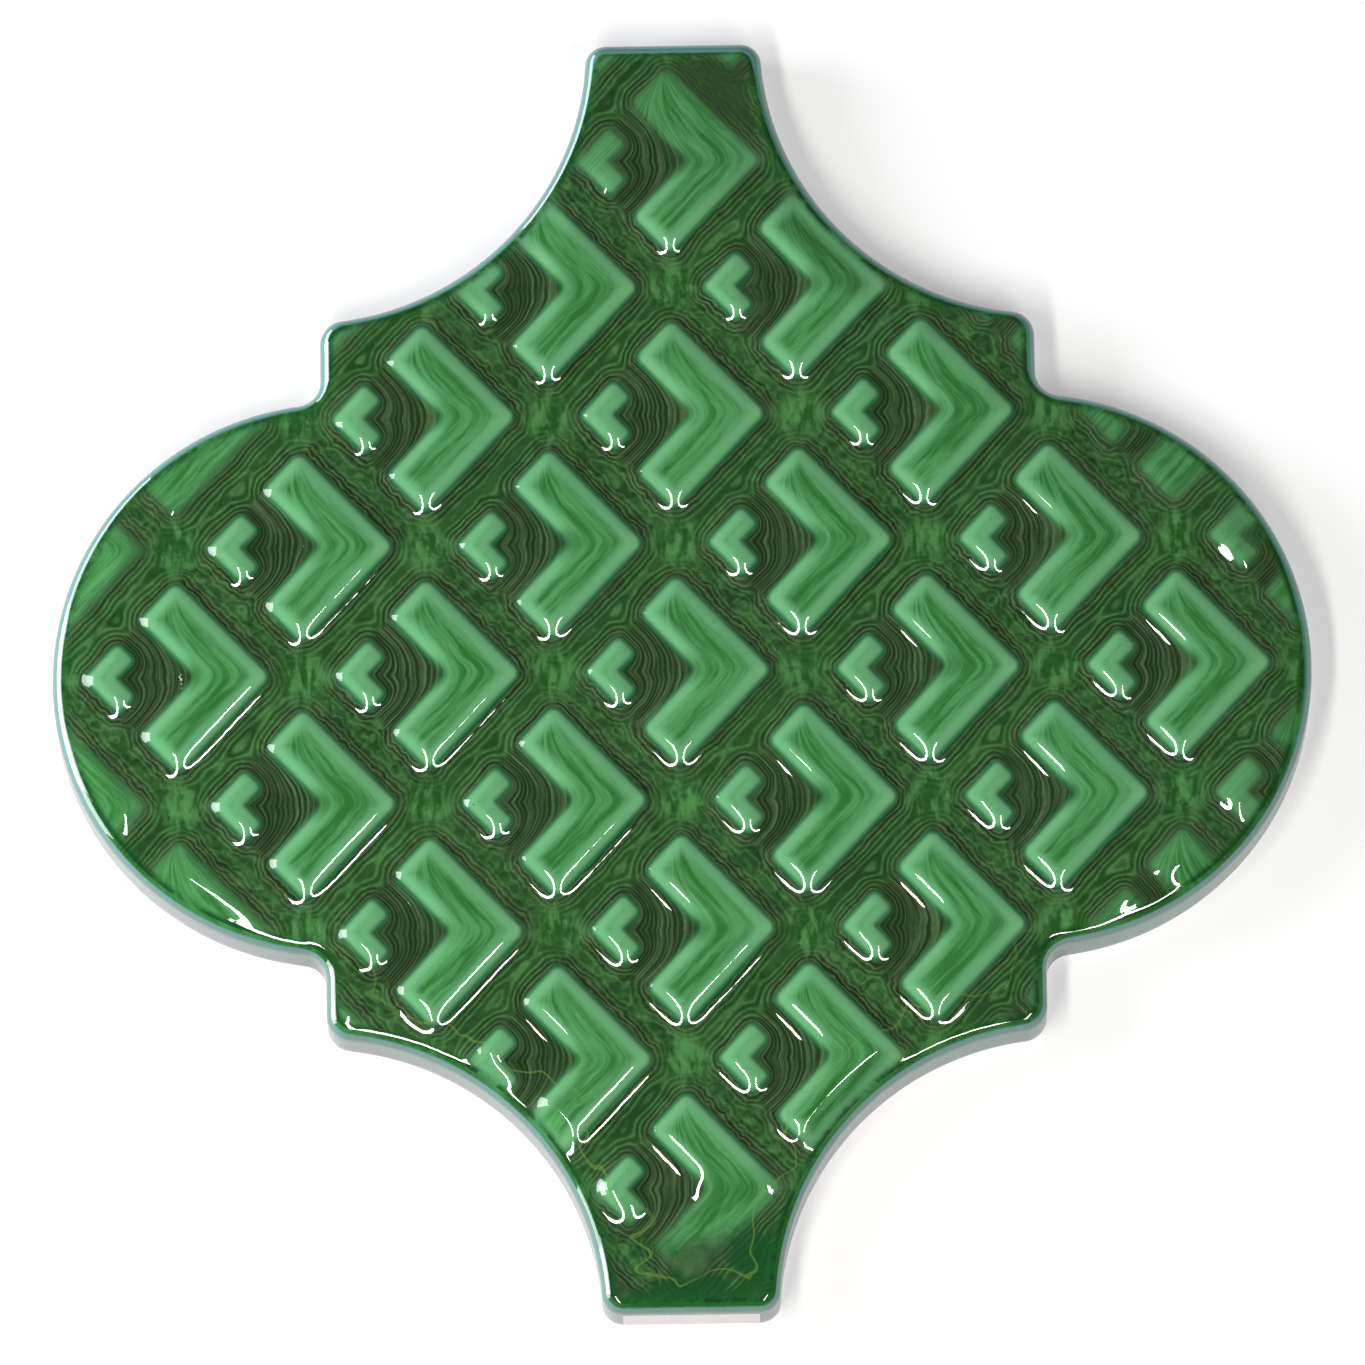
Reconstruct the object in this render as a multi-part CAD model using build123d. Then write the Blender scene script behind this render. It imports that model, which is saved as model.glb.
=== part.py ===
from build123d import *
import math
import os

# Lantern-shaped ceramic wall tile with a raised chevron relief on its glazed face.
# The tile lies on its back: +Z is the glazed face, +Y runs from neck to neck,
# and the origin is under the middle of the back.

# Outline, in millimetres
tile_width = 150.0  # lobe to lobe, along X
tile_height = 155.0  # neck end to neck end, along Y
neck_width = 21.0  # flat end of each neck, before its corners are rounded
shoulder_step = 10.0  # straight step between a hollow and a lobe
neck_crown_corner = 0.5  # corner radius left on the face, inside the rim's round
shoulder_crown_corner = 1.0  # the same at the shoulders

# Section
body_thickness = 8.6  # back to the floor of the relief
rim_radius = 2.0  # round from the face to the side
back_edge_bevel = 0.6  # bevel from the side to the back

# Relief, measured at the foot of its drafted sides
relief_height = 1.4
relief_draft = 27.0  # degrees from upright
relief_margin = 0.6  # flat land between the rim's round and the relief
relief_easing = 0.4  # width and height of the eased edge round the top of every bar
relief_corner = 0.9  # cut across the outward corners of a bar, along each side
relief_pitch_x = 29.8
relief_pitch_y = 31.4
block_side = 16.6  # the diamond that one chevron and one bracket fill together
chevron_bar_width = 6.9
bracket_bar_width = 3.35
bracket_bar_reach = 3.05  # how far each bar of the bracket runs on past its inner corner
least_cut_bar = 2.0  # cubic millimetres; smaller scraps cut off by the rim are left out

# Worked out from the sizes above
neck_half = neck_width / 2
lobe_reach = tile_width / 2
half_height = tile_height / 2
step_x = (neck_half + lobe_reach) / 2
lobe_half_chord = (half_height - shoulder_step) / 2
lobe_rise = lobe_reach - step_x
arc_radius = (lobe_half_chord**2 + lobe_rise**2) / (2 * lobe_rise)
neck_corner_radius = rim_radius + neck_crown_corner
shoulder_radius = rim_radius + shoulder_crown_corner
slant = math.atan2(relief_pitch_y, relief_pitch_x)


def nearest(face, place):
    return face.vertices().sort_by_distance(place)[0]


def lantern_face(inset):
    """The tile's plan, drawn in by an inset all round, with its corners left sharp."""
    neck_y = half_height - inset
    side_x = step_x - inset
    lobe_radius = arc_radius - inset
    lobe_middle = lobe_reach - arc_radius
    lobe_y = math.sqrt(lobe_radius**2 - (side_x - lobe_middle) ** 2)
    hollow_radius = arc_radius + inset
    hollow_middle = neck_half + arc_radius
    neck_x = hollow_middle - math.sqrt(hollow_radius**2 - inset**2)
    hollow_y = half_height - math.sqrt(hollow_radius**2 - (hollow_middle - side_x) ** 2)
    half_turn = math.radians(45)
    bow_x = hollow_middle - hollow_radius * math.cos(half_turn)
    bow_y = half_height - hollow_radius * math.sin(half_turn)
    edges = []
    for side in (1, -1):
        lobe_ends = [(side * side_x, end * lobe_y) for end in (1, -1)]
        edges.append(ThreePointArc(lobe_ends[0], (side * (lobe_reach - inset), 0), lobe_ends[1]))
        for end, lobe_end in zip((1, -1), lobe_ends):
            neck = (side * neck_x, end * neck_y)
            bow = (side * bow_x, end * bow_y)
            hollow_foot = (side * side_x, end * hollow_y)
            edges.append(ThreePointArc(neck, bow, hollow_foot))
            edges.append(Line(hollow_foot, lobe_end))
    for end in (1, -1):
        edges.append(Line((-neck_x, end * neck_y), (neck_x, end * neck_y)))
    return make_face(edges)


def lantern_outline():
    """Lobes and hollows share one arc radius, so neighbouring tiles nest."""
    face = lantern_face(0)
    places = [corner.center() for corner in face.vertices()]
    for place in places:
        at_neck = abs(place.X) < (neck_half + step_x) / 2
        face = fillet(nearest(face, place), neck_corner_radius if at_neck else shoulder_radius)
    return face


def tile_body():
    body = extrude(lantern_outline(), amount=body_thickness)
    body = fillet(body.faces().sort_by(Axis.Z)[-1].edges(), rim_radius)
    return chamfer(body.faces().sort_by(Axis.Z)[0].edges(), back_edge_bevel)


def slanted(rise, fall):
    """A place on the two slanting axes that the bars run along, in X and Y."""
    return ((rise + fall) * math.cos(slant), (rise - fall) * math.sin(slant))


def raised_bar(points, inner):
    """A bent bar with cut corners, drafted sides and an eased top edge."""
    foot = make_face(Polyline(*points, close=True))
    inward = nearest(foot, inner)
    foot = chamfer([corner for corner in foot.vertices() if corner != inward], relief_corner)
    bar = extrude(foot, amount=relief_height)
    bar = draft(bar.faces().filter_by(Axis.Z, reverse=True), Plane.XY, relief_draft)
    return chamfer(bar.faces().sort_by(Axis.Z)[-1].edges(), relief_easing)


def chevron():
    """The large bent bar, along the two sides of the block that meet at its +X corner."""
    far = block_side / 2
    near = far - chevron_bar_width
    corners = [(far, -far), (far, far), (-far, far), (-far, near), (near, near), (near, -far)]
    return raised_bar([slanted(*corner) for corner in corners], slanted(near, near))


def bracket():
    """The small bent bar in the block's -X corner."""
    far = -block_side / 2
    near = far + bracket_bar_width
    end = near + bracket_bar_reach
    corners = [(far, far), (end, far), (end, near), (near, near), (near, end), (far, end)]
    return raised_bar([slanted(*corner) for corner in corners], slanted(near, near))


def relief_places():
    """A centred lattice with one block in the middle of the tile."""
    columns = math.ceil(tile_width / relief_pitch_x)
    rows = math.ceil(tile_height / relief_pitch_y)
    for column in range(-columns, columns + 1):
        for row in range(-rows, rows + 1):
            if (column + row) % 2 == 0:
                yield column * relief_pitch_x / 2, row * relief_pitch_y / 2


def relief_bars():
    """Every bar that stands on the face, cut off on a slope where the face ends."""
    land = rim_radius + relief_margin
    slope_run = relief_height * math.tan(math.radians(relief_draft))
    face_top = Pos(0, 0, relief_height) * lantern_face(land + slope_run)
    face_block = loft([lantern_face(land), face_top], ruled=True)
    bars = []
    for shape in (chevron(), bracket()):
        for x, y in relief_places():
            kept = (Pos(x, y, 0) * shape) & face_block
            if kept:
                bars.extend(bar for bar in kept.solids() if bar.volume > least_cut_bar)
    return [Pos(0, 0, body_thickness) * bar for bar in bars]


tile = tile_body().fuse(*relief_bars())

os.makedirs("parts", exist_ok=True)
export_step(tile, "parts/tile.step")
print("arc radius", round(arc_radius, 2), "volume", round(tile.volume), "solids", len(tile.solids()))
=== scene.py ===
import bmesh
import bpy
import math
import numpy as np
from mathutils import Matrix, Vector


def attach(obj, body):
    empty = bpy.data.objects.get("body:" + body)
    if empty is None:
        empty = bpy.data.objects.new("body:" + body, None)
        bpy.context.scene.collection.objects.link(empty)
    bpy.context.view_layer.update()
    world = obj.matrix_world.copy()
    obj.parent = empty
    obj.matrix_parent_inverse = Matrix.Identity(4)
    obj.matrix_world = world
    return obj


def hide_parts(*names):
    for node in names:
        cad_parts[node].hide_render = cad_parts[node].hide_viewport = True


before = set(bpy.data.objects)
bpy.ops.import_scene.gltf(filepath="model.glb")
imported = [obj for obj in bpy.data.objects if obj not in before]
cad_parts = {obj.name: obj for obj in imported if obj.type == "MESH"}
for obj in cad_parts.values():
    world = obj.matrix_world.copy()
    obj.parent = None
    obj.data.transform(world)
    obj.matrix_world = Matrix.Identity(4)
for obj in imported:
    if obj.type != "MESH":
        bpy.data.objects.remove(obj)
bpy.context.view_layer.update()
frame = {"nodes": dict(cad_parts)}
scene = bpy.context.scene
print("frame loaded:", ", ".join(frame["nodes"]))

mm = 0.001


# The tile's plan and section, in millimetres, as the solid has them but for the rim's crown
tileForm = {
    "width": 150.0,
    "height": 155.0,
    "neckWidth": 21.0,
    "shoulderStep": 10.0,
    "neckCorner": 2.5,
    "shoulderCorner": 3.0,
    "bodyThickness": 8.6,
    "rimRadius": 2.0,
    "rimWidth": 1.55,  # the glaze draws the rim in a little tighter than the body's round
    "rimSteps": 7,
    "backBevel": 0.6,
    "sideBand": 0.4,  # narrow bands beside the rim and the bevel keep the shading even
    "edgeStep": 0.7,  # longest edge along the outline
    "bareBelow": 6.2,  # height of the unglazed part of the neck ends
    "sideBelow": 6.7,
    "crease": 35.0,  # degrees; sharper edges are shaded sharp
}

# The raised chevrons and brackets, measured half way up their soft sides
reliefForm = {
    "height": 1.4,
    "pitchX": 29.8,
    "pitchY": 31.4,
    "blockHalf": 7.95,
    "chevronBar": 6.2,
    "bracketBar": 2.65,
    "bracketArm": 5.7,
    "soft": 0.8,  # how far the glaze has softened every edge
    "wideSoft": 2.4,  # a second, wider softness, and its share of the height
    "wideShare": 0.25,
    "foot": 0.65,  # below one, the glaze runs out further at the foot than on top
    "inset": 0.15,
    "corner": 1.0,  # round of the bars' corners in the colour
    "bracketCorner": 0.6,
    "chevronCrook": 0.9,  # round inside a chevron's bend
    "bracketCrook": 0.2,
    "crookReach": 2.2,  # how far a bend keeps the edge from paling
    "tipReach": 1.8,
    "pool": 0.62,  # share of the height that glaze has filled inside a chevron's bend
    "poolReach": 1.8,
    "poolBack": 0.5,  # how far the pool's middle lies out of the bend
    "shiftX": -0.47,  # the pattern was pressed slightly off the middle
    "shiftY": -0.08,
    "skew": 0.005,
    "rimFadeFrom": 1.0,  # distance from the outline where the relief starts to rise
    "rimFadeTo": 4.2,
    "farFade": 2.4,  # further in on the far half
    "farHalf": (0.0, 25.0),
    "cutHeight": 0.58,  # share of the height left to figures that the outline cuts
    "cutFrom": (1.0, 5.0),  # distance from the outline to the middle of a cut and of a whole figure
    "middles": (2.5, -4.5),  # middle of a chevron and of a bracket, along the block's own axis
    "farEnd": (55.0, 69.0),  # towards the neck ends the glaze has run together
    "nearEnd": (-60.0, -68.0),
    "nearLean": 0.3,  # the near pool reaches further up on the right
    "endHeight": 0.15,
    "grainRound": 1.3,  # how round the glaze lines turn inside a chevron's bend
    "channelRound": 0.6,
    "barRound": 1.6,  # how sharply the lines on a chevron turn, and how they fan out at its end
    "fanFrom": 0.25,
    "fanReach": 2.6,
    "blockBlend": (-0.6, 0.8),  # from the hollow's lines to the channel's, about the block's edge
    "crossing": (6.8, 9.8),  # where channels cross, from a block's middle
    "leanBlend": 1.5,
    "least": 0.05,  # keeps a gap above zero before it divides
    "meshStep": 0.41,
    "meshReach": 62.0,
}

slant = math.atan2(reliefForm["pitchY"], reliefForm["pitchX"])
period = math.hypot(reliefForm["pitchX"], reliefForm["pitchY"]) / 2


# Where the outline's arcs have their middles, for the quarter with x and y above zero
def lanternMiddles(form):
    neckHalf = form["neckWidth"] / 2
    reach = form["width"] / 2
    top = form["height"] / 2
    stepX = (neckHalf + reach) / 2
    rise = reach - stepX
    halfChord = (top - form["shoulderStep"]) / 2
    radius = (halfChord**2 + rise**2) / (2 * rise)
    neckR = form["neckCorner"]
    stepR = form["shoulderCorner"]
    hollow = Vector((neckHalf + radius, top))
    lobe = Vector((reach - radius, 0))
    neck = Vector((hollow.x - math.sqrt((radius + neckR) ** 2 - neckR**2), top - neckR))
    tipX = stepX - stepR
    tip = Vector((tipX, top - math.sqrt((radius + stepR) ** 2 - (hollow.x - tipX) ** 2)))
    nookX = stepX + stepR
    nook = Vector((nookX, math.sqrt((radius + stepR) ** 2 - (nookX - lobe.x) ** 2)))
    return {"top": top, "stepX": stepX, "radius": radius, "hollow": hollow, "lobe": lobe,
            "neck": neck, "tip": tip, "nook": nook}


def runTo(bm, vert, place, step):
    way = Vector((*place, 0)) - vert.co
    steps = math.ceil(way.length / step)
    for _ in range(steps):
        start = vert.co.copy()
        vert = bmesh.ops.extrude_vert_indiv(bm, verts=[vert])["verts"][0]
        bmesh.ops.translate(bm, verts=[vert], vec=start + way / steps - vert.co)
    return vert


def headingOf(arm):
    return math.atan2(arm.y, arm.x)


def swingTo(bm, vert, middle, heading, step):
    arm = vert.co.xy - middle
    turn = math.remainder(heading - headingOf(arm), 2 * math.pi)
    steps = max(4, math.ceil(abs(turn) * arm.length / step))
    made = bmesh.ops.spin(bm, geom=[vert], cent=(*middle, 0), axis=(0, 0, 1), angle=turn, steps=steps)
    return next(item for item in made["geom_last"] if isinstance(item, bmesh.types.BMVert))


# One quarter of the outline from the neck's middle to the lobe's tip, then mirrored twice
def lanternPlan(bm, form):
    at = lanternMiddles(form)
    step = form["edgeStep"]
    vert = bm.verts.new((0, at["top"], 0))
    vert = runTo(bm, vert, (at["neck"].x, at["top"]), step)
    vert = swingTo(bm, vert, at["neck"], headingOf(at["hollow"] - at["neck"]), step)
    vert = swingTo(bm, vert, at["hollow"], headingOf(at["tip"] - at["hollow"]), step)
    vert = swingTo(bm, vert, at["tip"], 0, step)
    vert = runTo(bm, vert, (at["stepX"], at["nook"].y), step)
    vert = swingTo(bm, vert, at["nook"], headingOf(at["lobe"] - at["nook"]), step)
    vert = swingTo(bm, vert, at["lobe"], 0, step)
    for axis in ("X", "Y"):
        geom = bm.verts[:] + bm.edges[:]
        bmesh.ops.mirror(bm, geom=geom, matrix=Matrix.Identity(4), merge_dist=0.001, axis=axis)
    bmesh.ops.remove_doubles(bm, verts=bm.verts[:], dist=0.001)
    face = bmesh.ops.contextual_create(bm, geom=bm.edges[:])["faces"][0]
    if face.normal.z < 0:
        face.normal_flip()
    return face


# Sides, bevelled back and rounded rim, all grown from the plan
def tileShell(bm, form):
    top = lanternPlan(bm, form)
    rimFoot = form["bodyThickness"] - form["rimRadius"]
    bmesh.ops.translate(bm, verts=top.verts[:], vec=(0, 0, rimFoot))
    bevel = form["backBevel"]
    band = form["sideBand"]
    levels = (rimFoot - band, bevel + band, bevel)
    edges = top.edges[:]
    for level in levels:
        made = bmesh.ops.extrude_edge_only(bm, edges=edges)["geom"]
        verts = [item for item in made if isinstance(item, bmesh.types.BMVert)]
        edges = [item for item in made if isinstance(item, bmesh.types.BMEdge)]
        edges = [edge for edge in edges if len(edge.link_faces) == 1]
        bmesh.ops.translate(bm, verts=verts, vec=(0, 0, level - verts[0].co.z))
    back = bmesh.ops.contextual_create(bm, geom=edges)["faces"][0]
    if back.normal.z > 0:
        back.normal_flip()
    bmesh.ops.inset_individual(bm, faces=[back], thickness=bevel, depth=bevel, use_even_offset=True)
    radius = form["rimRadius"]
    width = form["rimWidth"]
    angles = [math.pi / 2 * k / form["rimSteps"] for k in range(form["rimSteps"] + 1)]
    for low, high in zip(angles, angles[1:]):
        inward = width * (math.cos(low) - math.cos(high))
        upward = radius * (math.sin(high) - math.sin(low))
        bmesh.ops.inset_individual(bm, faces=[top], thickness=inward, depth=upward, use_even_offset=True)
    return top


# Even cuts along both slanting directions
def cutField(bm, field, form):
    geom = [field] + field.edges[:] + field.verts[:]
    step = form["meshStep"]
    count = math.ceil(form["meshReach"] / step)
    for lean in (1, -1):
        along = Vector((math.cos(slant), lean * math.sin(slant), 0))
        across = Vector((math.sin(slant), lean * math.cos(slant), 0))
        for k in range(-count, count + 1):
            start = along * (k * step)
            made = bmesh.ops.bisect_plane(bm, geom=geom, dist=0.0005, plane_co=start, plane_no=across)
            geom = made["geom"]


def smoothStep(low, high, value):
    part = np.clip((value - low) / (high - low), 0, 1)
    return part * part * (3 - 2 * part)


# The two bars of a chevron and of a bracket, by low and high corners on the slanting axes
def reliefBars(form):
    half = form["blockHalf"]
    near = half - form["chevronBar"]
    bar = form["bracketBar"] - half
    arm = form["bracketArm"] - half
    chevron = ((near, -half), (half, half)), ((-half, near), (half, half))
    bracket = ((-half, -half), (arm, bar)), ((-half, -half), (bar, arm))
    return chevron, bracket


# Distance to a square with a smaller square out of one corner: below zero inside it
def elbowGap(a, b, low, high, bend, corner, crook):
    qa = np.abs(a - (low + high) / 2) - (high - low) / 2 + corner
    qb = np.abs(b - (low + high) / 2) - (high - low) / 2 + corner
    square = np.hypot(np.maximum(qa, 0), np.maximum(qb, 0)) + np.minimum(np.maximum(qa, qb), 0) - corner
    qa = a - bend + crook
    qb = b - bend + crook
    notch = crook - np.hypot(np.maximum(qa, 0), np.maximum(qb, 0)) - np.minimum(np.maximum(qa, qb), 0)
    cornered = np.hypot(np.maximum(square + corner, 0), np.maximum(notch + corner, 0))
    return np.minimum(np.maximum(square, notch), -corner) + cornered


def chevronGap(a, b, form):
    half = form["blockHalf"]
    return elbowGap(a, b, -half, half, half - form["chevronBar"], form["corner"], form["chevronCrook"])


def bracketGap(a, b, form):
    half = form["blockHalf"]
    low = half - form["bracketArm"]
    bend = half - form["bracketBar"]
    return elbowGap(-a, -b, low, half, bend, form["bracketCorner"], form["bracketCrook"])


# A step softened the way thick glaze flows over it; 1.702 brings the curve close to an even blur
def softStep(value, soft):
    return 1 / (1 + np.exp(-1.702 * value / soft))


def softBar(a, b, bar, form):
    (lowA, lowB), (highA, highB) = bar
    inset = form["inset"]
    wide = form["wideShare"]
    lift = 0
    for soft, share in ((form["soft"], 1 - wide), (form["wideSoft"], wide)):
        alongA = softStep(a - lowA - inset, soft) - softStep(a - highA + inset, soft)
        alongB = softStep(b - lowB - inset, soft) - softStep(b - highB + inset, soft)
        lift = lift + share * alongA * alongB
    return lift


def softBent(a, b, bars, form):
    (lowOne, highOne), (lowTwo, highTwo) = bars
    shared = (tuple(np.maximum(lowOne, lowTwo)), tuple(np.minimum(highOne, highTwo)))
    both = softBar(a, b, bars[0], form) + softBar(a, b, bars[1], form) - softBar(a, b, shared, form)
    return np.clip(both, 0, 1) ** form["foot"]


# Distance in from the outline
def rimGap(x, y, form):
    at = lanternMiddles(form)
    x = np.abs(x)
    y = np.abs(y)
    fromEnd = at["top"] - y
    fromHollow = np.hypot(x - at["hollow"].x, y - at["hollow"].y) - at["radius"]
    fromLobe = at["radius"] - np.hypot(x - at["lobe"].x, y)

    def cornered(one, two, corner):
        inCorner = corner - np.hypot(np.maximum(corner - one, 0), np.maximum(corner - two, 0))
        return np.where(np.minimum(one, two) > corner, np.minimum(one, two), inCorner)

    fromSide = -cornered(x - at["stepX"], -fromLobe, form["shoulderCorner"])
    gap = cornered(fromEnd, fromHollow, form["neckCorner"])
    return cornered(gap, fromSide, form["shoulderCorner"])


# Raises the relief on the finished mesh and writes down what the glaze needs to know
def raiseRelief(mesh, form, plan):
    count = len(mesh.vertices)
    flat = np.empty(count * 3)
    mesh.vertices.foreach_get("co", flat)
    places = flat.reshape(-1, 3)
    x, y, z = places[:, 0] / mm, places[:, 1] / mm, places[:, 2] / mm
    overX = x - form["shiftX"] + form["skew"] * y
    overY = y - form["shiftY"]
    rise = (overX / math.cos(slant) + overY / math.sin(slant)) / 2
    fall = (overX / math.cos(slant) - overY / math.sin(slant)) / 2
    a = rise - period * np.round(rise / period)
    b = fall - period * np.round(fall / period)
    rim = rimGap(x, y, plan)
    half = form["blockHalf"]
    near = half - form["chevronBar"]
    crookAt = near - form["poolBack"]
    figures = list(zip(reliefBars(form), form["middles"]))
    gaps = []
    lift = np.zeros(count)
    shown = np.zeros(count)
    for i in (-1, 0, 1):
        for j in (-1, 0, 1):
            overA = a + i * period
            overB = b + j * period
            gaps.append(chevronGap(overA, overB, form))
            gaps.append(bracketGap(overA, overB, form))
            alongRise = rise - overA
            alongFall = fall - overB
            for bars, off in figures:
                middleX = (alongRise + alongFall + 2 * off) * math.cos(slant)
                middleY = (alongRise - alongFall) * math.sin(slant)
                whole = smoothStep(*form["cutFrom"], rimGap(middleX, middleY, plan))
                share = form["cutHeight"] + (1 - form["cutHeight"]) * whole
                part = softBent(overA, overB, bars, form)
                lift += part * share
                shown += part * whole
            away = ((overA - crookAt) ** 2 + (overB - crookAt) ** 2) / form["poolReach"] ** 2
            lift += form["pool"] * np.exp(-away) * np.clip(1 - lift, 0, 1)
    nearest = np.min(gaps, axis=0)
    fadeTo = form["rimFadeTo"] + form["farFade"] * smoothStep(*form["farHalf"], y)
    fade = smoothStep(0, 1, (rim - form["rimFadeFrom"]) / (fadeTo - form["rimFadeFrom"]))
    atFar = smoothStep(*form["farEnd"], y)
    atNear = smoothStep(*form["nearEnd"], y - form["nearLean"] * x)
    atEnd = np.maximum(atFar, atNear)
    fade = fade * (1 - (1 - form["endHeight"]) * atEnd)
    onTop = z > plan["bodyThickness"] - plan["rimRadius"] + 0.01
    places[:, 2] += np.where(onTop, np.minimum(lift, 1) * fade * form["height"], 0) * mm
    mesh.vertices.foreach_set("co", places.ravel())
    # the glaze's grain: across the bars on top, between neighbouring bars below
    sharp = form["barRound"]
    least = form["least"]
    bend = np.logaddexp(a * sharp, b * sharp) / sharp
    across = np.clip((half - bend) / form["chevronBar"], 0, 1)
    fan = 1 - np.exp(-(np.maximum(b + half, 0) + form["fanFrom"]) / form["fanReach"])
    loose = form["grainRound"]
    inBend = np.logaddexp(a / loose, b / loose) * loose - loose * math.log(2)
    fromChevron = np.maximum(near - inBend, least)
    fromBracket = np.maximum(bracketGap(a, b, form), least)
    spread = form["channelRound"]
    channel = -spread * np.log(np.sum(np.exp(-np.array(gaps) / spread), axis=0))
    blockFrom, blockTo = form["blockBlend"]
    farther = np.maximum(np.abs(a), np.abs(b))
    nearer = np.minimum(np.abs(a), np.abs(b))
    notes = {
        "edgeGap": nearest,
        "rimGap": rim,
        "plain": (1 - atEnd) * np.clip(shown / np.maximum(lift, 0.02), 0, 1),
        "topGrain": across / fan,
        "hollowGrain": fromChevron / (fromChevron + fromBracket),
        "channelGap": channel,
        "crook": np.exp(-((a - near) ** 2 + (b - near) ** 2) / form["crookReach"] ** 2),
        "tip": np.exp(-((a - half) ** 2 + (b - half) ** 2) / form["tipReach"] ** 2),
        "inBlock": 1 - smoothStep(half + blockFrom, half + blockTo, farther),
        "crossing": smoothStep(*form["crossing"], nearer),
        "lean": smoothStep(-form["leanBlend"], form["leanBlend"], np.abs(a) - np.abs(b)),
    }
    for name, values in notes.items():
        layer = mesh.attributes.new(name, "FLOAT", "POINT")
        layer.data.foreach_set("value", values.astype(np.float32))


def buildTile():
    bm = bmesh.new()
    field = tileShell(bm, tileForm)
    cutField(bm, field, reliefForm)
    bmesh.ops.remove_doubles(bm, verts=bm.verts[:], dist=0.002)
    bmesh.ops.recalc_face_normals(bm, faces=bm.faces[:])
    neckEnd = tileForm["height"] / 2 - 0.01
    for face in bm.faces:
        middle = face.calc_center_median()
        onEnd = abs(middle.y) > neckEnd and middle.z < tileForm["bareBelow"]
        bare = face.normal.z < -0.5 or onEnd
        side = abs(face.normal.z) < 0.2 and middle.z < tileForm["sideBelow"]
        face.material_index = 1 if bare else 2 if side else 0  # glaze, bare clay, thin glaze
        face.smooth = True
    crease = math.radians(tileForm["crease"])
    for edge in bm.edges:
        if len(edge.link_faces) == 2 and edge.calc_face_angle(0) > crease:
            edge.smooth = False
    bmesh.ops.scale(bm, verts=bm.verts[:], vec=(mm, mm, mm))
    mesh = bpy.data.meshes.new("glazedTile")
    bm.to_mesh(mesh)
    bm.free()
    raiseRelief(mesh, reliefForm, tileForm)
    tile = bpy.data.objects.new("glazedTile", mesh)
    scene.collection.objects.link(tile)
    triangles = sum(len(polygon.vertices) - 2 for polygon in mesh.polygons)
    print("tile built:", len(mesh.vertices), "points,", triangles, "triangles")
    return tile


# A socket that can be added, multiplied and so on
class Wire:
    def __init__(self, finish, socket):
        self.finish = finish
        self.socket = socket

    def maths(self, kind, one, two):
        return self.finish.node("ShaderNodeMath", {"operation": kind}, {0: one, 1: two})

    def __add__(self, other):
        return self.maths("ADD", self, other)

    def __radd__(self, other):
        return self.maths("ADD", other, self)

    def __sub__(self, other):
        return self.maths("SUBTRACT", self, other)

    def __rsub__(self, other):
        return self.maths("SUBTRACT", other, self)

    def __mul__(self, other):
        return self.maths("MULTIPLY", self, other)

    def __rmul__(self, other):
        return self.maths("MULTIPLY", other, self)

    def __truediv__(self, other):
        return self.maths("DIVIDE", self, other)

    def __rtruediv__(self, other):
        return self.maths("DIVIDE", other, self)

    def __pow__(self, other):
        return self.maths("POWER", self, other)


# One material and the ways its nodes are added
class Finish:
    def __init__(self, name):
        self.material = bpy.data.materials.new(name)
        self.material.use_nodes = True
        self.tree = self.material.node_tree
        self.shader = self.tree.nodes["Principled BSDF"]

    def node(self, kind, settings=None, inputs=None, output=0):
        made = self.tree.nodes.new(kind)
        for name, value in (settings or {}).items():
            setattr(made, name, value)
        for name, value in (inputs or {}).items():
            if isinstance(value, Wire):
                self.tree.links.new(value.socket, made.inputs[name])
            else:
                made.inputs[name].default_value = value
        return Wire(self, made.outputs[output])

    def set(self, **values):
        for name, value in values.items():
            socket = self.shader.inputs[name.replace("_", " ")]
            if isinstance(value, Wire):
                self.tree.links.new(value.socket, socket)
            else:
                socket.default_value = value

    def noted(self, name):
        return self.node("ShaderNodeAttribute", {"attribute_name": name}, output=2)

    def place(self):
        return self.node("ShaderNodeTexCoord", output=3)

    def axes(self, place, *picks):
        return [self.node("ShaderNodeSeparateXYZ", {}, {0: place}, output=k) for k in picks]

    def joined(self, x, y, z):
        return self.node("ShaderNodeCombineXYZ", {}, {0: x, 1: y, 2: z})

    def noise(self, place, size, detail=2.0, roughness=0.5, distortion=0.0):
        return self.node("ShaderNodeTexNoise", {}, {
            "Vector": place, "Scale": 1 / size, "Detail": detail,
            "Roughness": roughness, "Distortion": distortion})

    def between(self, value, low, high, start=0.0, end=1.0):
        return self.node("ShaderNodeMapRange", {"interpolation_type": "SMOOTHSTEP"}, {
            "Value": value, "From Min": low, "From Max": high, "To Min": start, "To Max": end})

    def wave(self, value):
        swing = self.node("ShaderNodeMath", {"operation": "SINE"}, {0: value * (2 * math.pi)})
        return swing * 0.5 + 0.5

    def mix(self, factor, one, two):
        return self.node("ShaderNodeMix", {"data_type": "RGBA"}, {0: factor, 6: one, 7: two}, output=2)

    def bump(self, height, strength, distance):
        return self.node("ShaderNodeBump", {}, {
            "Height": height, "Strength": strength, "Distance": distance})


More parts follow.
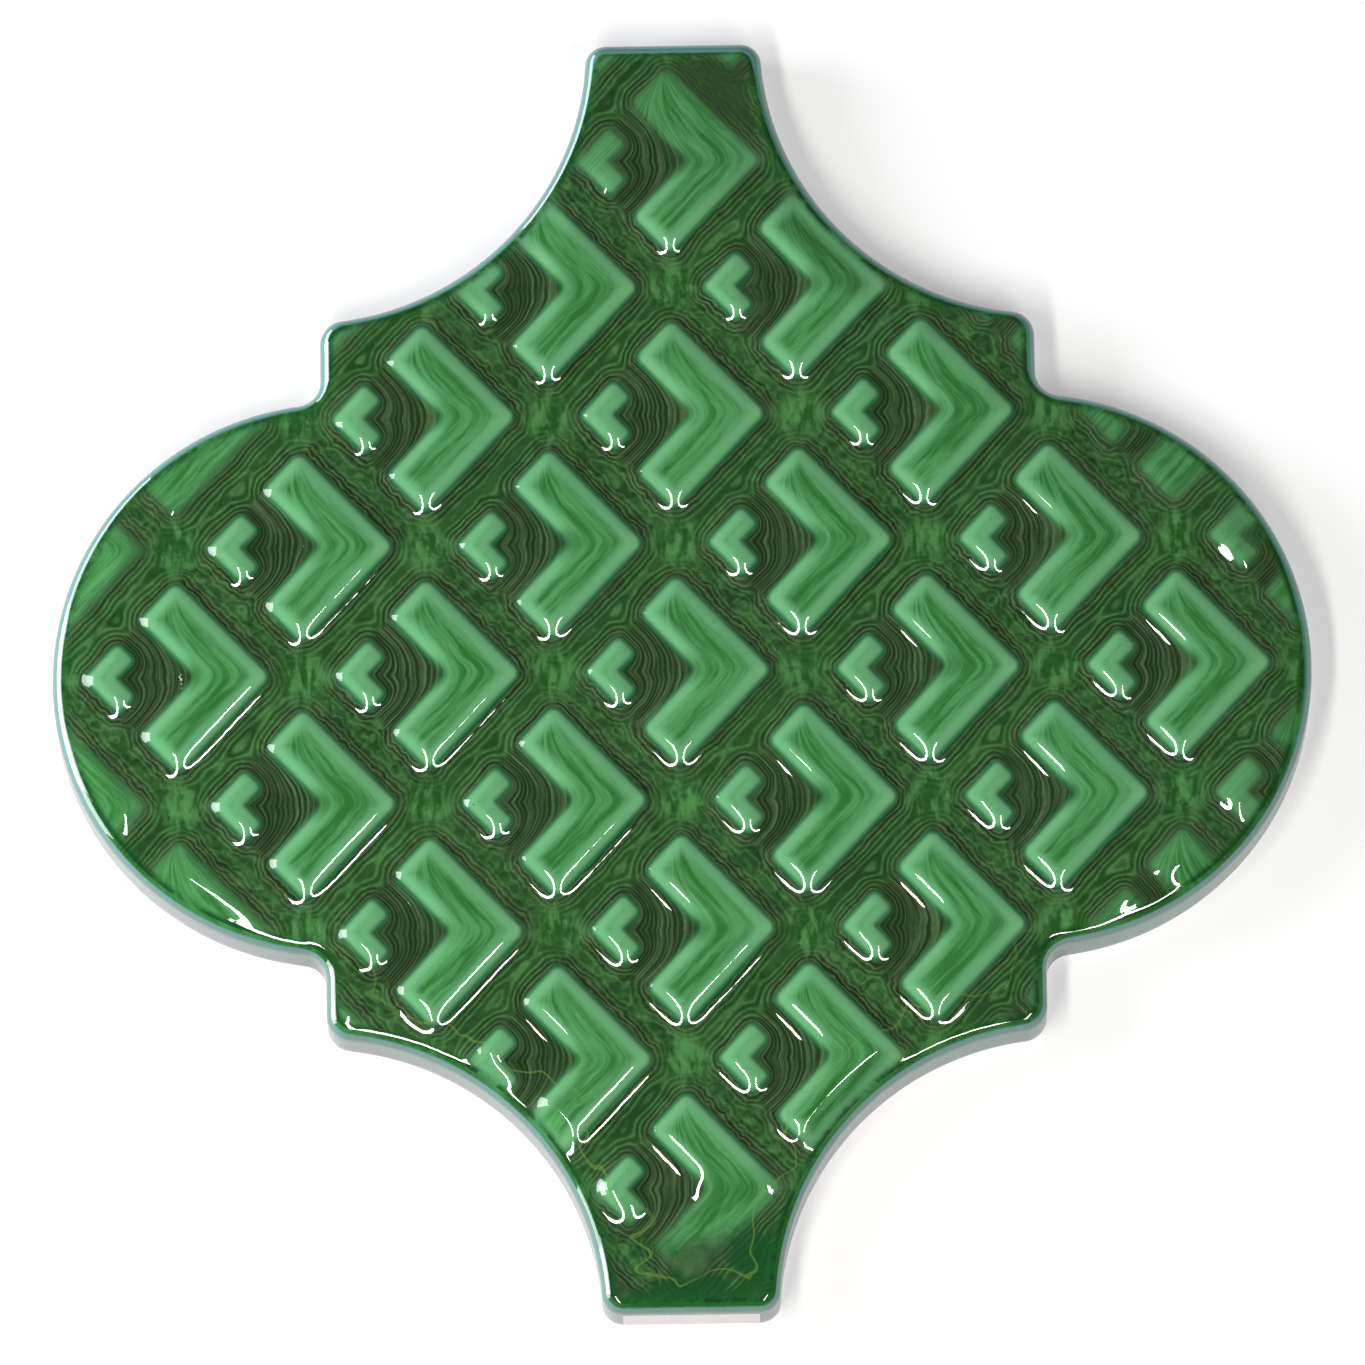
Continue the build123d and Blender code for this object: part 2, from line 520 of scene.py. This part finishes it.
# The green glaze: colours are linear, lengths are in metres unless noted
greenGlaze = {
    "barDeep": (0.019, 0.116, 0.021, 1),
    "barPale": (0.060, 0.225, 0.072, 1),
    "barEdge": (0.112, 0.325, 0.145, 1),
    "barTip": (0.165, 0.410, 0.175, 1),
    "edgeRing": (0.004, 0.120, 0.040, 1),
    "floorDark": (0.006, 0.016, 0.004, 1),
    "lineDark": (0.074, 0.132, 0.052, 1),
    "floorGreen": (0.007, 0.038, 0.006, 1),
    "lineGreen": (0.054, 0.158, 0.045, 1),
    "crossGreen": (0.010, 0.062, 0.008, 1),
    "crossPale": (0.062, 0.198, 0.055, 1),
    "hollowDark": (0.008, 0.024, 0.005, 1),
    "hollowLine": (0.062, 0.112, 0.046, 1),
    "farPool": (0.018, 0.042, 0.015, 1),
    "rimPool": (0.016, 0.120, 0.020, 1),
    "endPool": (0.003, 0.050, 0.009, 1),
    "rimDark": (0.001, 0.035, 0.006, 1),
    "rimTeal": (0.075, 0.225, 0.190, 1),
    "rimGrey": (0.105, 0.185, 0.170, 1),
    "meeting": (0.120, 0.220, 0.040, 1),
    "pinhole": (0.006, 0.012, 0.006, 1),
    "hollowLines": 13.0,
    "channelStep": 0.56,  # millimetres from one line to the next
    "barLines": 6.0,
    "barRun": 0.012,  # how far a line runs on before it changes
    "channelRun": 0.016,
    "hollowRun": 0.014,
    "streakWidth": 0.0011,
    "streakLength": 0.0030,
    "driftSize": 0.006,
    "cloudSize": 0.0016,
    "fineSize": 0.0008,
    "swaySize": 0.0013,
    "meetingSize": 0.011,
    "pinholeSpacing": 0.007,
    "rippleSize": 0.004,
    "rippleDepth": 0.0002,
    "roughness": 0.04,
    "IOR": 1.6,
}


def glazeFinish(look):
    finish = Finish("greenGlaze")
    place = finish.place()
    edge = finish.noted("edgeGap")
    rim = finish.noted("rimGap")
    x, y = finish.axes(place, 0, 1)
    drift = finish.noise(place, look["driftSize"])
    cloud = finish.noise(place, look["cloudSize"], 3.0, 0.6, 0.8)
    fine = finish.noise(place, look["fineSize"])
    # raised bars: lines along them, paler towards their edges
    topGrain = finish.noted("topGrain") * look["barLines"] + drift * 1.2
    barFlow = finish.joined(topGrain, x / look["barRun"], y / look["barRun"])
    barLine = finish.between(finish.noise(barFlow, 0.8, 3.0, 0.65), 0.34, 0.66)
    bar = finish.mix(barLine, look["barDeep"], look["barPale"])
    plain = finish.noted("plain")
    outsideBend = 1.0 - finish.noted("crook") * 0.85
    paling = finish.between(edge, -2.3, -0.7) * (plain * 0.8 + 0.1) * outsideBend
    bar = finish.mix(paling, bar, look["barEdge"])
    bar = finish.mix(finish.noted("tip") * plain * 0.8, bar, look["barTip"])
    # channels: thin lines along them, dark beside the bars and green in the middle
    lean = finish.noted("lean")
    channel = finish.noted("channelGap")
    sway = finish.noise(place, look["swaySize"], 1.0)
    waver = (sway - 0.5) * (lean * 1.4 + 0.2)
    flow = channel / look["channelStep"] + drift * 2.6 + waver
    channelFlow = finish.joined(flow, x / look["channelRun"], y / look["channelRun"])
    channelLoose = finish.between(finish.noise(channelFlow, 0.9, 2.0, 0.6), 0.36, 0.66)
    channelLine = finish.wave(flow) ** 2.0 * 0.75 + channelLoose * 0.25
    opened = finish.between(channel + cloud * 1.6 - lean * 0.5, 1.0, 2.9)
    dark = finish.mix(opened, look["floorDark"], look["floorGreen"])
    pale = finish.mix(opened, look["lineDark"], look["lineGreen"])
    mottle = finish.between(cloud, 0.36, 0.64)
    channelLine = channelLine * (mottle * 0.4 + 0.6) * (1.0 - opened * (lean * 0.35 + 0.1))
    channelLine = channelLine + mottle * opened * (lean * 0.25 + 0.05)
    floor = finish.mix(channelLine, dark, pale)
    # crossings: upright streaks
    acrossStreak = x / look["streakWidth"] + drift * 2.0
    streakFlow = finish.joined(acrossStreak, y / look["streakLength"], cloud * 1.3)
    streak = finish.between(finish.noise(streakFlow, 1.0, 2.0, 0.55), 0.38, 0.66)
    crossing = finish.mix(streak, look["crossGreen"], look["crossPale"])
    floor = finish.mix(finish.noted("crossing") * 0.8, floor, crossing)
    # hollows between a chevron and its bracket
    grain = finish.noted("hollowGrain") * look["hollowLines"] + drift * 2.0
    hollowFlow = finish.joined(grain, x / look["hollowRun"], y / look["hollowRun"])
    hollowLoose = finish.between(finish.noise(hollowFlow, 0.9, 2.0, 0.6), 0.44, 0.68)
    hollowLine = finish.wave(grain) ** 3.0 * 0.4 + hollowLoose * 0.6
    hollowLine = hollowLine * finish.between(cloud, 0.25, 0.6, 0.55, 1.0)
    hollow = finish.mix(hollowLine, look["hollowDark"], look["hollowLine"])
    floor = finish.mix(finish.noted("inBlock"), floor, hollow)
    # from the bars down to the floor
    ring = finish.between(edge, -0.2, 0.25) * finish.between(edge, 0.75, 0.3)
    colour = finish.mix(finish.between(edge, -0.42, 0.5), bar, floor)
    colour = finish.mix(ring * (plain * 0.4 + 0.05), colour, look["edgeRing"])
    # towards the rim the glaze runs together
    blurred = finish.mix(finish.between(edge + cloud * 2.4, -0.6, 2.8), bar, floor)
    colour = finish.mix(finish.between(rim, 4.5, 1.5) * 0.7, colour, blurred)
    colour = finish.mix((1.0 - plain) * 0.5, colour, blurred)
    # pools at the near and the far neck end
    pooled = finish.between(y - x * 0.2 + cloud * 0.004, -0.065, -0.069)
    endPool = finish.mix(finish.between(drift, 0.47, 0.57) * 0.8, look["endPool"], floor)
    colour = finish.mix(pooled * 0.85, colour, endPool)
    farPool = finish.between(y + cloud * 0.004, 0.066, 0.071) * finish.between(x, -0.002, 0.002)
    farPool = farPool * finish.between(rim, 1.6, 3.0) * finish.between(edge, -0.3, 0.8)
    colour = finish.mix(farPool * 0.8, colour, look["farPool"])
    rimPool = finish.between(rim + cloud * 2.4, 3.6, 1.6) * 0.6
    colour = finish.mix(rimPool, colour, look["rimPool"])
    # one thin line where runs of glaze have met, towards the front
    offLine = finish.noise(place, look["meetingSize"], 2.0, 0.5, 0.4) * 14.0 + rim - 12.2
    offLine = finish.node("ShaderNodeMath", {"operation": "ABSOLUTE"}, {0: offLine})
    inFront = finish.between(y, -0.02, -0.05) * finish.between(rim, 9.0, 6.0)
    meeting = finish.between(offLine, 0.22, 0.08) * inFront
    colour = finish.mix(meeting * 0.4, colour, look["meeting"])
    # a few pinholes
    holes = finish.node("ShaderNodeTexVoronoi", {}, {
        "Vector": place, "Scale": 1 / look["pinholeSpacing"]})
    colour = finish.mix(finish.between(holes, 0.026, 0.014) * 0.8, colour, look["pinhole"])
    # thin glaze over the rim
    shade = finish.between(rim, 0.9, 1.15) * finish.between(rim, 2.0, 1.2)
    shade = shade * finish.between(cloud + drift, 0.75, 1.1)
    colour = finish.mix(shade * 0.85, colour, look["rimDark"])
    lower = finish.between(y, 0.01, -0.025)
    thin = rim + fine * 0.12 + lower * 0.35 - finish.between(y, 0.073, 0.077) * 0.5
    colour = finish.mix(finish.between(thin, 1.12, 0.85), colour, look["rimTeal"])
    colour = finish.mix(finish.between(rim - lower * 0.15, 0.32, 0.2), colour, look["rimGrey"])
    finish.set(Base_Color=colour, Roughness=look["roughness"], IOR=look["IOR"])
    ripple = finish.noise(place, look["rippleSize"])
    finish.set(Normal=finish.bump(ripple, 0.25, look["rippleDepth"]))
    return finish.material


# The sides, where the glaze has run thin; their paler foot is a painted reflection of the floor
sideGlaze = {
    "teal": (0.075, 0.170, 0.150, 1),
    "grey": (0.120, 0.150, 0.145, 1),
    "green": (0.070, 0.155, 0.122, 1),
    # paler foot colour and where it starts: a painted reflection of the floor on the lower part of the
    # sides
    "foot": (0.300, 0.300, 0.310, 1),
    "greenFrom": (0.020, 0.040),  # greener towards the right
    "tealFrom": (5.4 * mm, 6.6 * mm),
    "floorReflectionFrom": (2.6 * mm, 1.4 * mm),
    "patchSize": 0.004,
    "patchReach": 0.0018,  # how far patches move the edge of the painted floor reflection at the foot
    "roughness": 0.22,
    "IOR": 1.35,
}


def sideFinish(look):
    finish = Finish("thinGlaze")
    place = finish.place()
    x, height = finish.axes(place, 0, 2)
    patch = finish.noise(place, look["patchSize"], 3.0, 0.6) * look["patchReach"]
    onRight = finish.between(x, *look["greenFrom"])
    colour = finish.mix(onRight, look["grey"], look["green"])
    colour = finish.mix(finish.between(height, *look["tealFrom"]), colour, look["teal"])
    # painted reflection of the floor towards the foot of the sides, weaker on the right
    foot = finish.between(height + patch, *look["floorReflectionFrom"]) * (1.0 - onRight * 0.75)
    colour = finish.mix(foot, colour, look["foot"])
    finish.set(Base_Color=colour, Roughness=look["roughness"], IOR=look["IOR"])
    return finish.material


# The unglazed back and neck ends, linear
bareBody = {
    "clay": (0.72, 0.66, 0.66, 1),
    "clayPale": (0.80, 0.76, 0.76, 1),
    "patchSize": 0.003,
    "gritSize": 0.0003,
    "gritDepth": 0.00005,
    "roughness": 0.75,
}


def bareFinish(look):
    finish = Finish("bareClay")
    place = finish.place()
    patch = finish.noise(place, look["patchSize"], 4.0, 0.6)
    grit = finish.noise(place, look["gritSize"])
    colour = finish.mix(patch, look["clay"], look["clayPale"])
    finish.set(Base_Color=colour, Roughness=look["roughness"])
    finish.set(Normal=finish.bump(grit, 0.4, look["gritDepth"]))
    return finish.material


tile = buildTile()
tile.data.materials.append(glazeFinish(greenGlaze))
tile.data.materials.append(bareFinish(bareBody))
tile.data.materials.append(sideFinish(sideGlaze))
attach(tile, "root")
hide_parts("tile")
print("finishes made")


# Floor, world and camera
stageForm = {
    "floorSize": 4.0,
    "floorDrop": 0.0002,  # keeps the paper clear of the flat back
    "floorColour": (0.56, 0.56, 0.565, 1),
    "floorGlow": 0.34,  # paper lit from all round, beyond what the lamps give
    "world": (0.10, 0.101, 0.104),
    "worldStrength": 1.0,
    "tilt": 13.0,
    "roll": -0.85,
    "distance": 2.0,
    "pixelsPerMm": 8.405,
    "frameSide": 1365,
    "tileAt": (682.0, 671.0),  # the tile's middle, in pixels of the frame
}


def buildFloor(form):
    bm = bmesh.new()
    bmesh.ops.create_grid(bm, x_segments=1, y_segments=1, size=form["floorSize"] / 2)
    bmesh.ops.translate(bm, verts=bm.verts[:], vec=(0, 0, -form["floorDrop"]))
    mesh = bpy.data.meshes.new("floor")
    bm.to_mesh(mesh)
    bm.free()
    floor = bpy.data.objects.new("floor", mesh)
    scene.collection.objects.link(floor)
    paper = Finish("paleFloor")
    paper.set(Base_Color=form["floorColour"], Roughness=0.9, Emission_Color=(1, 1, 1, 1),
              Emission_Strength=form["floorGlow"])
    mesh.materials.append(paper.material)


# Panes by place, width, height and power; lamps by the ends of a strip, width and power (metres, watts)
lightForm = {
    "daylight": (0.93, 0.97, 1.0),
    "lampLight": (1.0, 0.98, 0.95),
    "windowLeft": ((-0.45, 0.07, 0.21), 0.30, 0.42, 3.8),
    "cardLeft": ((-0.47, 0.227, 0.16), 0.826, 0.28, 7.8),
    "lampLeft": ((-0.153, -0.054, 0.5), (-0.125, -0.38, 0.5), 0.054, 2.2),
    "lampRight": ((0.180, -0.090, 0.5), (0.156, -0.37, 0.5), 0.040, 1.4),
}


def areaLight(name, place, width, height, power, colour):
    data = bpy.data.lights.new(name, "AREA")
    data.shape = "RECTANGLE"
    data.size = width
    data.size_y = height
    data.energy = power
    data.color = colour
    lamp = bpy.data.objects.new(name, data)
    lamp.location = place
    scene.collection.objects.link(lamp)
    return lamp


# A pane on the left that faces along X
def paneLight(name, lights):
    pane = areaLight(name, *lights[name], lights["daylight"])
    pane.rotation_euler = Vector((1, 0, 0)).to_track_quat("-Z", "Y").to_euler()
    return pane


# A strip lamp overhead that faces the tile, its length along the line between its ends
def stripLight(name, lights):
    near, far, width, power = lights[name]
    near = Vector(near)
    far = Vector(far)
    lamp = areaLight(name, (near + far) / 2, width, (far - near).length, power, lights["lampLight"])
    down = (-lamp.location).normalized()
    along = (far - near).normalized()
    along = (along - down * along.dot(down)).normalized()
    lamp.rotation_euler = Matrix((along.cross(-down), along, -down)).transposed().to_euler()


def buildStudio(form, lights):
    world = bpy.data.worlds.new("studio")
    world.use_nodes = True
    background = world.node_tree.nodes["Background"]
    background.inputs[0].default_value = (*form["world"], 1)
    background.inputs[1].default_value = form["worldStrength"]
    scene.world = world
    paneLight("windowLeft", lights)
    card = paneLight("cardLeft", lights)
    card.visible_diffuse = False  # only seen in the glaze, as the white line along the left rims
    stripLight("lampLeft", lights)
    stripLight("lampRight", lights)


def buildCamera(form):
    data = bpy.data.cameras.new("camera")
    data.sensor_width = 36.0
    data.sensor_fit = "HORIZONTAL"
    side = form["frameSide"]
    data.lens = form["pixelsPerMm"] * form["distance"] / mm * data.sensor_width / side
    camera = bpy.data.objects.new("camera", data)
    tilt = Matrix.Rotation(math.radians(form["tilt"]), 4, "X")
    roll = Matrix.Rotation(math.radians(form["roll"]), 4, "Z")
    aim = Vector((0, 0, tileForm["bodyThickness"] * mm))
    offX = (side / 2 - form["tileAt"][0]) / form["pixelsPerMm"] * mm
    offY = (form["tileAt"][1] - side / 2) / form["pixelsPerMm"] * mm
    away = Matrix.Translation((offX, offY, form["distance"]))
    camera.matrix_world = Matrix.Translation(aim) @ tilt @ roll @ away
    data.clip_start = 0.05
    data.clip_end = 20.0
    scene.collection.objects.link(camera)
    scene.camera = camera


buildFloor(stageForm)
buildStudio(stageForm, lightForm)
buildCamera(stageForm)
scene.view_settings.view_transform = "Standard"
print("studio set")
